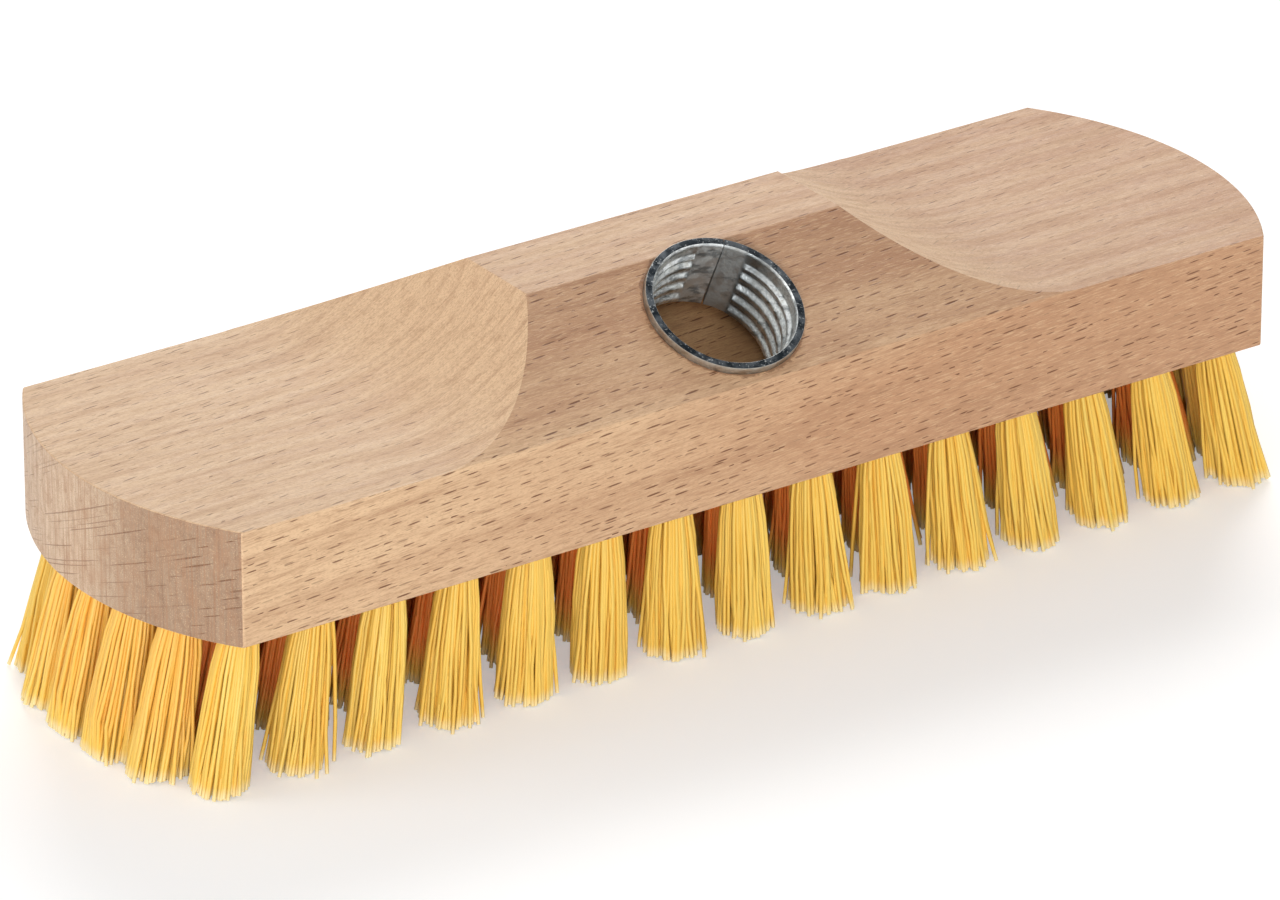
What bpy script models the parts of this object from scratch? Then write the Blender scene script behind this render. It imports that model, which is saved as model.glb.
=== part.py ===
"""Wooden scrubbing brush head: a beech block with a roof-shaped top, a steel handle
sleeve pressed into its front slope, and bristle tufts set in drilled blind holes.

Metres, +Z up. X runs along the block and -Y is the side with the handle sleeve. The
brush stands on its bristle tips, on z = 0, with its middle over the origin.
"""

import math

import bmesh
import bpy
from mathutils import Matrix, Vector

# Block of beech, planed flat at both ends and scooped up to a roof in the middle
BLOCK_LENGTH = 0.230
BLOCK_WIDTH = 0.068
END_BULGE = 0.0106
END_THICKNESS = 0.021
ROOF_RISE = 0.0145
FLAT_TOP_WIDTH = 0.0178
FLAT_TOP_LENGTH = 0.064
SCOOP_RUN = 0.0345
SCOOP_BITE = 0.0001

# Handle sleeve: a steel strip bent to a tube, butted at a seam, pressed into the slope
SLEEVE_DIAMETER = 0.028
SLEEVE_WALL = 0.0015
SLEEVE_PROUD = 0.0015
SLEEVE_ABOVE_MIDDLE = 0.0012
SLEEVE_FOOT_SPACE = 0.0015
LEAD_IN_WIDTH = 0.0006
LEAD_IN_DEPTH = 0.0009
SEAM_WIDTH = 0.0004
SEAM_TURN = math.radians(-30.0)
SEAM_LEAN = math.radians(3.0)
FLOOR_WALL = 0.0010

# Tufts: folded bundles of filament, one in each drilled hole, fanned and trimmed level
BRISTLE_LENGTH = 0.028
TUFT_DIAMETER = 0.0055
TUFT_HOLE_DEPTH = 0.0070
TUFT_NECK = 0.0010
EDGE_INSET = 0.0080
SIDE_PITCH = 0.0143
END_PITCH = 0.0104
ROW_PITCH = 0.0130
ROW_END_SHARE = 0.75
TIP_CLEARANCE = 0.0012
STRAND_GAP = 0.00025
STRAND_SWELL = 1.28
END_FAN = math.radians(12.5)
SIDE_FAN = math.radians(2.5)
STRANDS = 6
STRAND_UPRIGHT_SHARE = 0.9

# Slice of the block that joins the tufts of an inner row into one piece
SLICE_THICKNESS = 0.0025
SLICE_MARGIN = 0.0012

# Fits and facets
SEAT_GAP = 0.0003
OVERRUN = 0.0050
WELD_DISTANCE = 0.00003
END_STEPS = 20
SCOOP_STEPS = 14
SLEEVE_STEPS = 48
HOLE_SIDES = 8
SMOOTH_ANGLE = math.radians(25.0)

# Sizes that follow from those above
UNDERSIDE = BRISTLE_LENGTH
END_TOP = UNDERSIDE + END_THICKNESS
ROOF_TOP = END_TOP + ROOF_RISE
HALF_LENGTH = BLOCK_LENGTH / 2
HALF_WIDTH = BLOCK_WIDTH / 2
SLOPE_RUN = (BLOCK_WIDTH - FLAT_TOP_WIDTH) / 2
SLOPE_ANGLE = math.atan2(ROOF_RISE, SLOPE_RUN)
SLOPE_LENGTH = math.hypot(ROOF_RISE, SLOPE_RUN)
END_RADIUS = (HALF_WIDTH**2 + END_BULGE**2) / (2 * END_BULGE)
END_CENTRE = HALF_LENGTH - END_RADIUS
SCOOP_DEPTH = ROOF_RISE + SCOOP_BITE
SCOOP_RADIUS = (SCOOP_RUN**2 + SCOOP_DEPTH**2) / (2 * SCOOP_DEPTH)

SLEEVE_RADIUS = SLEEVE_DIAMETER / 2
BORE_RADIUS = SLEEVE_RADIUS + SEAT_GAP
BORE_DOWN_SLOPE = SLOPE_LENGTH / 2 - SLEEVE_ABOVE_MIDDLE
BORE_Y = -(FLAT_TOP_WIDTH / 2 + BORE_DOWN_SLOPE * math.cos(SLOPE_ANGLE))
BORE_Z = ROOF_TOP - BORE_DOWN_SLOPE * math.sin(SLOPE_ANGLE)
WOOD_OVER_HOLES = BORE_Z - UNDERSIDE - TUFT_HOLE_DEPTH - SEAT_GAP - FLOOR_WALL
BORE_DEPTH = (WOOD_OVER_HOLES - BORE_RADIUS * math.sin(SLOPE_ANGLE)) / math.cos(SLOPE_ANGLE)
SLEEVE_FOOT = BORE_DEPTH - SLEEVE_FOOT_SPACE

TUFT_RADIUS = TUFT_DIAMETER / 2
CORNER_Y = HALF_WIDTH - EDGE_INSET
TUFT_ARC_RADIUS = END_RADIUS - EDGE_INSET


def material(name, colour, roughness, metallic=0.0):
    """A Principled material of one colour."""
    made = bpy.data.materials.new(name)
    made.use_nodes = True
    made.diffuse_color = (*colour, 1.0)
    shader = made.node_tree.nodes["Principled BSDF"]
    shader.inputs["Base Color"].default_value = (*colour, 1.0)
    shader.inputs["Roughness"].default_value = roughness
    shader.inputs["Metallic"].default_value = metallic
    return made


def collection(name, helpers=False):
    made = bpy.data.collections.new(name)
    made.hide_render = helpers
    bpy.context.scene.collection.children.link(made)
    return made


def add_object(name, mesh, home, finish=None):
    """An object of this mesh in a collection. A helper has no finish and isn't rendered."""
    made = bpy.data.objects.new(name, mesh)
    home.objects.link(made)
    if finish is None:
        made.hide_render = True
        made.display_type = "WIRE"
    else:
        mesh.materials.append(finish)
    return made


def mesh_of(name, shape):
    """Ends a bmesh as a mesh whose faces point outwards."""
    bmesh.ops.recalc_face_normals(shape, faces=shape.faces)
    mesh = bpy.data.meshes.new(name)
    shape.to_mesh(mesh)
    shape.free()
    return mesh


def prism(name, outline, thickness, placing):
    """A flat outline, drawn as a filled 2D curve, as a solid with its middle at the origin
    of placing and its thickness along that matrix's Z."""
    curve = bpy.data.curves.new(name, "CURVE")
    curve.dimensions = "2D"
    curve.fill_mode = "BOTH"
    curve.extrude = thickness / 2
    spline = curve.splines.new("POLY")
    spline.points.add(len(outline) - 1)
    for point, (across, up) in zip(spline.points, outline):
        point.co = (across, up, 0.0, 1.0)
    spline.use_cyclic_u = True
    drawn = bpy.data.objects.new(name, curve)
    bpy.context.scene.collection.objects.link(drawn)
    bpy.context.view_layer.update()
    graph = bpy.context.evaluated_depsgraph_get()
    loose = bpy.data.meshes.new_from_object(drawn.evaluated_get(graph))
    bpy.data.objects.remove(drawn)
    shape = bmesh.new()
    shape.from_mesh(loose)
    bpy.data.meshes.remove(loose)
    bmesh.ops.remove_doubles(shape, verts=shape.verts, dist=WELD_DISTANCE)
    bmesh.ops.transform(shape, matrix=placing, verts=shape.verts)
    return mesh_of(name, shape)


def box(name, low, high):
    """A box between two corners."""
    sides = Vector(high) - Vector(low)
    middle = (Vector(high) + Vector(low)) / 2
    shape = bmesh.new()
    bmesh.ops.create_cube(shape, size=1.0)
    bmesh.ops.scale(shape, vec=sides, verts=shape.verts)
    bmesh.ops.translate(shape, vec=middle, verts=shape.verts)
    return mesh_of(name, shape)


def boolean(body, operation, other):
    step = body.modifiers.new(operation.lower() + "_" + other.name, "BOOLEAN")
    step.operation = operation
    step.solver = "EXACT"
    step.object = other
    step.material_mode = "TRANSFER"


def smooth_round_faces(body):
    """Takes the body's evaluated mesh as its own, and shades its round faces smooth."""
    bpy.context.view_layer.update()
    graph = bpy.context.evaluated_depsgraph_get()
    mesh = bpy.data.meshes.new_from_object(body.evaluated_get(graph))
    body.modifiers.clear()
    body.data = mesh
    mesh.shade_smooth()
    mesh.set_sharp_from_angle(angle=SMOOTH_ANGLE)


def arc_x(radius, y):
    """How far from the block's middle an end arc of this radius lies, at this y."""
    return END_CENTRE + math.sqrt(radius**2 - y**2)


def footprint():
    """Outline that trims the ends from above: an arc at each, drawn half a facet past the
    block's sides so that no corner of it lies on them."""
    sweep = math.asin(HALF_WIDTH / END_RADIUS) * (1 + 1 / END_STEPS)
    angles = [sweep * (2 * step / END_STEPS - 1) for step in range(END_STEPS + 1)]
    right = [
        (END_CENTRE + END_RADIUS * math.cos(angle), END_RADIUS * math.sin(angle))
        for angle in angles
    ]
    return right + [(-x, -y) for x, y in right]


def cross_section():
    """Outline of the block across its length: upright sides under a symmetric roof."""
    half_top = FLAT_TOP_WIDTH / 2
    return [
        (-HALF_WIDTH, UNDERSIDE),
        (HALF_WIDTH, UNDERSIDE),
        (HALF_WIDTH, END_TOP),
        (half_top, ROOF_TOP),
        (-half_top, ROOF_TOP),
        (-HALF_WIDTH, END_TOP),
    ]


def scoop_outline():
    """What is planed off at one end: level from the end, a shade below the slopes' feet,
    then a cove up to the flat top, drawn half a facet past it."""
    level = END_TOP - SCOOP_BITE
    centre_x = FLAT_TOP_LENGTH / 2 + SCOOP_RUN
    centre_z = level + SCOOP_RADIUS
    sweep = math.asin(SCOOP_RUN / SCOOP_RADIUS) * (1 + 1 / (2 * SCOOP_STEPS))
    cove = []
    for step in range(SCOOP_STEPS + 1):
        angle = sweep * (1 - step / SCOOP_STEPS)
        x = centre_x - SCOOP_RADIUS * math.sin(angle)
        z = centre_z - SCOOP_RADIUS * math.cos(angle)
        cove.append((x, z))
    past_end = HALF_LENGTH + OVERRUN
    above = ROOF_TOP + OVERRUN
    return cove + [(past_end, level), (past_end, above), (cove[0][0], above)]


def slope_placing():
    """Matrix of the handle sleeve: origin on the front slope, +Z straight out of it."""
    at = Matrix.Translation((0.0, BORE_Y, BORE_Z))
    return at @ Matrix.Rotation(SLOPE_ANGLE, 4, "X")


def tuft_placing(x, y):
    """Matrix of a tuft: origin at its hole's mouth, +Z up its hole. Tufts fan out towards
    the block's ends and, less, towards its sides."""
    lean_x = math.tan(END_FAN * x / arc_x(TUFT_ARC_RADIUS, 0.0))
    lean_y = math.tan(SIDE_FAN * y / CORNER_Y)
    up_hole = Vector((-lean_x, -lean_y, 1.0))
    turn = Vector((0.0, 0.0, 1.0)).rotation_difference(up_hole)
    return Matrix.Translation((x, y, UNDERSIDE)) @ turn.to_matrix().to_4x4()


def spread(half, pitch):
    """Even places from -half to half, as near to this pitch as fits."""
    steps = max(1, round(2 * half / pitch))
    return [half * (2 * step / steps - 1) for step in range(steps + 1)]


def side_places():
    return spread(arc_x(TUFT_ARC_RADIUS, CORNER_Y), SIDE_PITCH)


def end_places():
    return spread(CORNER_Y, END_PITCH)[1:-1]


def inner_rows():
    """Tuft places of each inner row, between the side rows. Every other row is shifted by
    half a pitch, so that its tufts stand behind the gaps of the row before, and each row
    ends a share of a pitch short of the end arcs' tufts."""
    sides = side_places()
    pitch = sides[1] - sides[0]
    rows = []
    for count, y in enumerate(spread(CORNER_Y, ROW_PITCH)[1:-1]):
        shifted = [x + pitch / 2 for x in sides[:-1]]
        places = shifted if count % 2 == 0 else sides[1:-1]
        reach = arc_x(TUFT_ARC_RADIUS, y) - pitch * ROW_END_SHARE
        rows.append([(x, y) for x in places if abs(x) < reach])
    return rows


def tip_radius():
    """Tufts spread until they nearly meet their neighbours, closest at the block's ends."""
    ends = spread(CORNER_Y, END_PITCH)
    return (ends[1] - ends[0] - TIP_CLEARANCE) / 2


def tuft(placing):
    """One tuft, in the frame of its hole: a root as wide as the folded bundle, down to a short
    neck below the hole, and strands of three sides that leave the neck side by side, spread
    apart and end at the level trim, z = 0."""
    shape = bmesh.new()
    bmesh.ops.create_cone(
        shape,
        cap_ends=True,
        cap_tris=True,
        segments=STRANDS,
        radius1=TUFT_RADIUS,
        radius2=TUFT_RADIUS,
        depth=TUFT_HOLE_DEPTH + TUFT_NECK,
        matrix=Matrix.Translation((0.0, 0.0, (TUFT_HOLE_DEPTH - TUFT_NECK) / 2)),
    )
    feet = [face for face in shape.faces if face.normal.z < -STRAND_UPRIGHT_SHARE]
    bmesh.ops.inset_individual(shape, faces=feet, thickness=STRAND_GAP / 2, use_even_offset=True)
    for face in bmesh.ops.extrude_discrete_faces(shape, faces=feet)["faces"]:
        middle = face.calc_center_median()
        from_axis = math.hypot(middle.x, middle.y)
        outwards = (tip_radius() - (TUFT_RADIUS - from_axis) * STRAND_SWELL) / from_axis
        for corner in face.verts:
            end = (corner.co - middle) * STRAND_SWELL + middle * outwards
            end.z = -BRISTLE_LENGTH
            above = (placing @ corner.co).z
            below = (placing @ end).z
            corner.co = corner.co.lerp(end, above / (above - below))
    return shape


def hole_cutter(places):
    """The drilled holes of all these tufts, as cylinders that run out past the underside."""
    depth = TUFT_HOLE_DEPTH + SEAT_GAP + OVERRUN
    radius = (TUFT_RADIUS + SEAT_GAP) / math.cos(math.pi / HOLE_SIDES)
    shape = bmesh.new()
    for x, y in places:
        bmesh.ops.create_cone(
            shape,
            cap_ends=True,
            segments=HOLE_SIDES,
            radius1=radius,
            radius2=radius,
            depth=depth,
            matrix=tuft_placing(x, y) @ Matrix.Translation((0.0, 0.0, depth / 2 - OVERRUN)),
        )
    return mesh_of("tuft_holes", shape)


def slice_corners(row, clearance=0.0, below=0.0):
    """Corners of the slice of the block that an inner row stands in, or of its groove."""
    margin = TUFT_RADIUS + SLICE_MARGIN + clearance
    y = row[0][1]
    low = (row[0][0] - margin, y - margin, UNDERSIDE - below)
    high = (row[-1][0] + margin, y + margin, UNDERSIDE + SLICE_THICKNESS + clearance)
    return low, high


def build_block(parts, cutters, beech):
    """The block: the roof section along its length, cut to the footprint, scooped at both
    ends, bored for the sleeve and drilled for the tufts."""
    along_x = Matrix(((0, 0, 1, 0), (1, 0, 0, 0), (0, 1, 0, 0), (0, 0, 0, 1)))
    block = add_object("block", prism("block", cross_section(), BLOCK_LENGTH, along_x), parts, beech)

    height = ROOF_TOP + OVERRUN
    plan = prism("footprint", footprint(), 2 * height, Matrix.Identity(4))
    boolean(block, "INTERSECT", add_object("footprint", plan, cutters))

    for name, turn in (("scoop_right", 0.0), ("scoop_left", math.pi)):
        placing = Matrix.Rotation(turn, 4, "Z") @ Matrix.Rotation(math.pi / 2, 4, "X")
        scoop = prism(name, scoop_outline(), BLOCK_WIDTH + 2 * OVERRUN, placing)
        boolean(block, "DIFFERENCE", add_object(name, scoop, cutters))

    bore = bmesh.new()
    bore_radius = BORE_RADIUS / math.cos(math.pi / SLEEVE_STEPS)
    bmesh.ops.create_cone(
        bore,
        cap_ends=True,
        segments=SLEEVE_STEPS,
        radius1=bore_radius,
        radius2=bore_radius,
        depth=BORE_DEPTH + OVERRUN,
        matrix=slope_placing() @ Matrix.Translation((0.0, 0.0, (OVERRUN - BORE_DEPTH) / 2)),
    )
    bore_object = add_object("sleeve_bore", mesh_of("sleeve_bore", bore), cutters)
    boolean(block, "DIFFERENCE", bore_object)

    places = side_and_end_places() + [place for row in inner_rows() for place in row]
    boolean(block, "DIFFERENCE", add_object("tuft_holes", hole_cutter(places), cutters))
    for number, row in enumerate(inner_rows(), 1):
        name = f"slice_groove_{number}"
        groove = box(name, *slice_corners(row, SEAT_GAP, OVERRUN))
        boolean(block, "DIFFERENCE", add_object(name, groove, cutters))
    smooth_round_faces(block)


def build_sleeve(parts, cutters, steel):
    """The handle sleeve: turned from its wall's profile, and slit along the butt seam."""
    outside, inside = SLEEVE_RADIUS, SLEEVE_RADIUS - SLEEVE_WALL
    profile = [
        (outside, SLEEVE_PROUD),
        (outside, LEAD_IN_DEPTH - SLEEVE_FOOT),
        (outside - LEAD_IN_WIDTH, -SLEEVE_FOOT),
        (inside, -SLEEVE_FOOT),
        (inside, SLEEVE_PROUD - LEAD_IN_DEPTH),
        (inside + LEAD_IN_WIDTH, SLEEVE_PROUD),
    ]
    wall = bmesh.new()
    corners = [wall.verts.new((radius, 0.0, up)) for radius, up in profile]
    for corner, following in zip(corners, corners[1:] + corners[:1]):
        wall.edges.new((corner, following))
    mesh = bpy.data.meshes.new("handle_sleeve")
    wall.to_mesh(mesh)
    wall.free()
    sleeve = add_object("handle_sleeve", mesh, parts, steel)
    sleeve.matrix_world = slope_placing()
    turned = sleeve.modifiers.new("turned", "SCREW")
    turned.steps = turned.render_steps = SLEEVE_STEPS
    turned.use_merge_vertices = True
    turned.merge_threshold = WELD_DISTANCE

    low = (-SEAM_WIDTH / 2, inside - OVERRUN, -SLEEVE_FOOT - OVERRUN)
    high = (SEAM_WIDTH / 2, outside + OVERRUN, SLEEVE_PROUD + OVERRUN)
    seam = add_object("sleeve_seam", box("sleeve_seam", low, high), cutters)
    turn = Matrix.Rotation(SEAM_TURN, 4, "Z") @ Matrix.Rotation(SEAM_LEAN, 4, "Y")
    seam.matrix_world = slope_placing() @ turn
    boolean(sleeve, "DIFFERENCE", seam)
    smooth_round_faces(sleeve)


def side_and_end_places():
    """Root places of the tufts round the edge: front and rear rows, then both end arcs."""
    sides = [(x, y) for y in (-CORNER_Y, CORNER_Y) for x in side_places()]
    ends = [(side * arc_x(TUFT_ARC_RADIUS, y), y) for side in (-1, 1) for y in end_places()]
    return sides + ends


def side_and_end_names():
    sides = [f"tuft_{row}_{n + 1:02d}" for row in ("front", "rear") for n in range(len(side_places()))]
    ends = [f"tuft_{end}_{n + 1}" for end in ("left", "right") for n in range(len(end_places()))]
    return sides + ends


def build_outer_tufts(parts, bristle):
    """Each tuft round the edge is a piece of its own, in its own hole."""
    for name, (x, y) in zip(side_and_end_names(), side_and_end_places()):
        placing = tuft_placing(x, y)
        made = add_object(name, mesh_of(name, tuft(placing)), parts, bristle)
        made.matrix_world = placing


def build_inner_rows(parts, cutters, beech, bristle):
    """An inner row is one piece: its tufts, fused to a slice of the block's underside."""
    for number, row in enumerate(inner_rows(), 1):
        name = f"inner_row_{number}"
        joined = bmesh.new()
        for x, y in row:
            placing = tuft_placing(x, y)
            one = tuft(placing)
            bmesh.ops.transform(one, matrix=placing, verts=one.verts)
            mesh = mesh_of("one_tuft", one)
            joined.from_mesh(mesh)
            bpy.data.meshes.remove(mesh)
        tufts = add_object(name + "_tufts", mesh_of(name + "_tufts", joined), cutters)
        tufts.data.materials.append(bristle)
        backing = add_object(name, box(name, *slice_corners(row)), parts, beech)
        boolean(backing, "UNION", tufts)


def main():
    for item in list(bpy.data.objects):
        bpy.data.objects.remove(item)
    parts = collection("wash_brush")
    cutters = collection("cutters", helpers=True)
    beech = material("beech", (0.60, 0.38, 0.23), 0.6)
    steel = material("zinc_plated_steel", (0.50, 0.52, 0.54), 0.35, metallic=1.0)
    bristle = material("yellow_bristle", (0.90, 0.56, 0.09), 0.4)
    build_block(parts, cutters, beech)
    build_sleeve(parts, cutters, steel)
    build_outer_tufts(parts, bristle)
    build_inner_rows(parts, cutters, beech, bristle)


main()
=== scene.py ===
"""Wash brush: a scrubbing brush head of beech, with a steel sleeve for a screw-in handle
and yellow bristle tufts. Metres, +Z up, X along the block, the handle sleeve on the -Y side.
"""

import math

import bmesh
import bpy
from mathutils import Matrix, Vector


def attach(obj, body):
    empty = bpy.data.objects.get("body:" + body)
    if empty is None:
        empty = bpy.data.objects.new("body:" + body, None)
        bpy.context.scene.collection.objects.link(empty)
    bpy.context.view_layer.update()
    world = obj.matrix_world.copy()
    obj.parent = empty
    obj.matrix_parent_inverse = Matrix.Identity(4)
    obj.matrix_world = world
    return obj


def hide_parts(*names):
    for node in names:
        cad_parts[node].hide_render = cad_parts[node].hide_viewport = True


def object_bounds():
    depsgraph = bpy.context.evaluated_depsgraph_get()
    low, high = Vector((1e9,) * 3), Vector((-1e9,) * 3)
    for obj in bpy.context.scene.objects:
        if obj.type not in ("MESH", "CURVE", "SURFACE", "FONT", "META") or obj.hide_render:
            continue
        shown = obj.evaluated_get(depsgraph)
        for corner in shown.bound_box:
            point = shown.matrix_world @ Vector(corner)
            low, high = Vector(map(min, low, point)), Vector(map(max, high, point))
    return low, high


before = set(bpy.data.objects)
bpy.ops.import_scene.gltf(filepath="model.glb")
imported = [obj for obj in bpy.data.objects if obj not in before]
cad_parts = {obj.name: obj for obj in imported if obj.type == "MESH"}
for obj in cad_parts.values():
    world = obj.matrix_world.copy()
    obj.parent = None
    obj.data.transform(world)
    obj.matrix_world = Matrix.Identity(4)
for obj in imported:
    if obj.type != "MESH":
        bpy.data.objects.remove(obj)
cad_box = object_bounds()


# Beech block
# Planed beech: a roof section milled along its length, both ends scooped by a cove cutter and
# sawn to a shallow arc, a bore in the slope for the sleeve, and blind holes for the tufts.

BLOCK_LENGTH = 0.230
BLOCK_WIDTH = 0.068
END_BULGE = 0.0106
END_THICKNESS = 0.021
ROOF_RISE = 0.0145
FLAT_TOP_WIDTH = 0.0178
FLAT_TOP_LENGTH = 0.064
SCOOP_RUN = 0.0345
SCOOP_BITE = 0.0001
BRISTLE_LENGTH = 0.028
ROOF_EDGE_RADIUS = 0.0010
SIDE_EDGE_RADIUS = 0.00015
BOTTOM_EDGE_RADIUS = 0.0004
EDGE_STEPS = 3
EASED_END = 0.00025
SLEEVE_DIAMETER = 0.028
SLEEVE_ABOVE_MIDDLE = 0.0012
SEAT_GAP = 0.0003
BORE_GAP = 0.00006
BORE_DEPTH = 0.01547
OVERRUN = 0.005
END_STEPS = 96
COVE_STEPS = 64
BORE_STEPS = 128
SHARP_ANGLE = math.radians(4)

UNDERSIDE = BRISTLE_LENGTH
END_TOP = UNDERSIDE + END_THICKNESS
ROOF_TOP = END_TOP + ROOF_RISE
HALF_LENGTH = BLOCK_LENGTH / 2
HALF_WIDTH = BLOCK_WIDTH / 2
SLOPE_RUN = (BLOCK_WIDTH - FLAT_TOP_WIDTH) / 2
SLOPE_ANGLE = math.atan2(ROOF_RISE, SLOPE_RUN)
SLOPE_LENGTH = math.hypot(ROOF_RISE, SLOPE_RUN)
OUT_OF_SLOPE = (0.0, -math.sin(SLOPE_ANGLE), math.cos(SLOPE_ANGLE))
END_RADIUS = (HALF_WIDTH**2 + END_BULGE**2) / (2 * END_BULGE)
END_CENTRE = HALF_LENGTH - END_RADIUS
COVE_DEPTH = ROOF_RISE + SCOOP_BITE
COVE_RADIUS = (SCOOP_RUN**2 + COVE_DEPTH**2) / (2 * COVE_DEPTH)
RIDGE_X = FLAT_TOP_LENGTH / 2
COVE_FOOT = RIDGE_X + SCOOP_RUN
BORE_DOWN_SLOPE = SLOPE_LENGTH / 2 - SLEEVE_ABOVE_MIDDLE
BORE_Y = -(FLAT_TOP_WIDTH / 2 + BORE_DOWN_SLOPE * math.cos(SLOPE_ANGLE))
BORE_Z = ROOF_TOP - BORE_DOWN_SLOPE * math.sin(SLOPE_ANGLE)
BORE_MOUTH = (0.0, BORE_Y, BORE_Z)
SLEEVE_PLACE = Matrix.Translation(BORE_MOUTH) @ Matrix.Rotation(SLOPE_ANGLE, 4, "X")


def new_object(name, mesh):
    made = bpy.data.objects.new(name, mesh)
    bpy.context.scene.collection.objects.link(made)
    return made


def solid_of(name, outline, low, high, placing):
    """A flat outline drawn out along its own Z, from low to high, and then placed."""
    shape = bmesh.new()
    corners = [shape.verts.new((across, up, low)) for across, up in outline]
    face = shape.faces.new(corners)
    drawn = bmesh.ops.extrude_face_region(shape, geom=[face])["geom"]
    far = [item for item in drawn if isinstance(item, bmesh.types.BMVert)]
    bmesh.ops.translate(shape, verts=far, vec=(0, 0, high - low))
    bmesh.ops.transform(shape, verts=shape.verts, matrix=placing)
    bmesh.ops.recalc_face_normals(shape, faces=shape.faces)
    mesh = bpy.data.meshes.new(name)
    shape.to_mesh(mesh)
    shape.free()
    return new_object(name, mesh)


def apply_modifiers(piece):
    """Makes what the modifiers give the piece's own mesh."""
    bpy.context.view_layer.update()
    graph = bpy.context.evaluated_depsgraph_get()
    mesh = bpy.data.meshes.new_from_object(piece.evaluated_get(graph))
    piece.modifiers.clear()
    piece.data = mesh


def machine(piece, operation, *tools):
    """Cuts the piece with tools, or keeps what lies inside them."""
    for tool in tools:
        step = piece.modifiers.new(tool.name, "BOOLEAN")
        step.operation = operation
        step.solver = "EXACT"
        step.object = tool
    apply_modifiers(piece)
    for tool in tools:
        bpy.data.objects.remove(tool)


def round_corners(corners, steps):
    """An outline whose corners, each (across, up, radius), are rounded in so many steps."""
    outline = []
    for n, (across, up, radius) in enumerate(corners):
        corner = Vector((across, up))
        before = (Vector(corners[n - 1][:2]) - corner).normalized()
        after = (Vector(corners[(n + 1) % len(corners)][:2]) - corner).normalized()
        half_angle = before.angle(after) / 2
        centre = corner + (before + after).normalized() * radius / math.sin(half_angle)
        spokes = [corner + side * radius / math.tan(half_angle) - centre for side in (before, after)]
        for step in range(steps + 1):
            outline.append(centre + spokes[0].lerp(spokes[1], step / steps).normalized() * radius)
    return outline


def ease_ends(piece):
    """Takes the sharpness off the edges round both sawn ends."""
    shape = bmesh.new()
    shape.from_mesh(piece.data)
    weight = shape.edges.layers.float.new("bevel_weight_edge")
    for edge in shape.edges:
        on_end = [abs(face.normal.x) > 0.8 for face in edge.link_faces]
        edge[weight] = float(any(on_end) and not all(on_end))
    shape.to_mesh(piece.data)
    shape.free()
    easing = piece.modifiers.new("eased_ends", "BEVEL")
    easing.limit_method = "WEIGHT"
    easing.width = EASED_END
    easing.segments = EDGE_STEPS
    easing.use_clamp_overlap = False
    apply_modifiers(piece)


half_top = FLAT_TOP_WIDTH / 2
roof_corners = [
    (-HALF_WIDTH, UNDERSIDE, BOTTOM_EDGE_RADIUS),
    (HALF_WIDTH, UNDERSIDE, BOTTOM_EDGE_RADIUS),
    (HALF_WIDTH, END_TOP, SIDE_EDGE_RADIUS),
    (half_top, ROOF_TOP, ROOF_EDGE_RADIUS),
    (-half_top, ROOF_TOP, ROOF_EDGE_RADIUS),
    (-HALF_WIDTH, END_TOP, SIDE_EDGE_RADIUS),
]
along_x = Matrix(((0, 0, 1, 0), (1, 0, 0, 0), (0, 1, 0, 0), (0, 0, 0, 1)))
roof = round_corners(roof_corners, EDGE_STEPS)
block = solid_of("beech_block", roof, -HALF_LENGTH, HALF_LENGTH, along_x)

sweep = math.asin(HALF_WIDTH / END_RADIUS) * (1 + 1 / END_STEPS)
arc = [sweep * (2 * step / END_STEPS - 1) for step in range(END_STEPS + 1)]
right_end = [(END_CENTRE + END_RADIUS * math.cos(a), END_RADIUS * math.sin(a)) for a in arc]
plan = right_end + [(-x, -y) for x, y in right_end]
footprint = solid_of("footprint", plan, 0, ROOF_TOP + OVERRUN, Matrix.Identity(4))
machine(block, "INTERSECT", footprint)

cove_sweep = math.asin(SCOOP_RUN / COVE_RADIUS) * (1 + 1 / (2 * COVE_STEPS))
scoop = []
for step in range(COVE_STEPS + 1):
    angle = cove_sweep * (1 - step / COVE_STEPS)
    rise = COVE_RADIUS * (1 - math.cos(angle))
    scoop.append((COVE_FOOT - COVE_RADIUS * math.sin(angle), END_TOP - SCOOP_BITE + rise))
past_end = HALF_LENGTH + OVERRUN
scoop.append((past_end, END_TOP - SCOOP_BITE))
scoop.append((past_end, ROOF_TOP + OVERRUN))
scoop.append((scoop[0][0], ROOF_TOP + OVERRUN))
scoops = []
for side, turn in (("right", 0.0), ("left", math.pi)):
    placing = Matrix.Rotation(turn, 4, "Z") @ Matrix.Rotation(math.pi / 2, 4, "X")
    past_side = HALF_WIDTH + OVERRUN
    scoops.append(solid_of("scoop_" + side, scoop, -past_side, past_side, placing))
machine(block, "DIFFERENCE", *scoops)
ease_ends(block)

bore_radius = SLEEVE_DIAMETER / 2 + BORE_GAP
bore_turns = [2 * math.pi * step / BORE_STEPS for step in range(BORE_STEPS)]
bore_circle = [(bore_radius * math.cos(turn), bore_radius * math.sin(turn)) for turn in bore_turns]
machine(block, "DIFFERENCE", solid_of("bore", bore_circle, -BORE_DEPTH, OVERRUN, SLEEVE_PLACE))


def add_node(tree, kind, inputs=None, **settings):
    """A node whose input sockets, by name or number, take a value or another node's output."""
    made = tree.nodes.new(kind)
    made.location.x = 180 * len(tree.nodes)
    for name, value in settings.items():
        setattr(made, name, value)
    for socket, value in (inputs or {}).items():
        if isinstance(value, bpy.types.NodeSocket):
            tree.links.new(value, made.inputs[socket])
        else:
            made.inputs[socket].default_value = value
    return made


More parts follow.
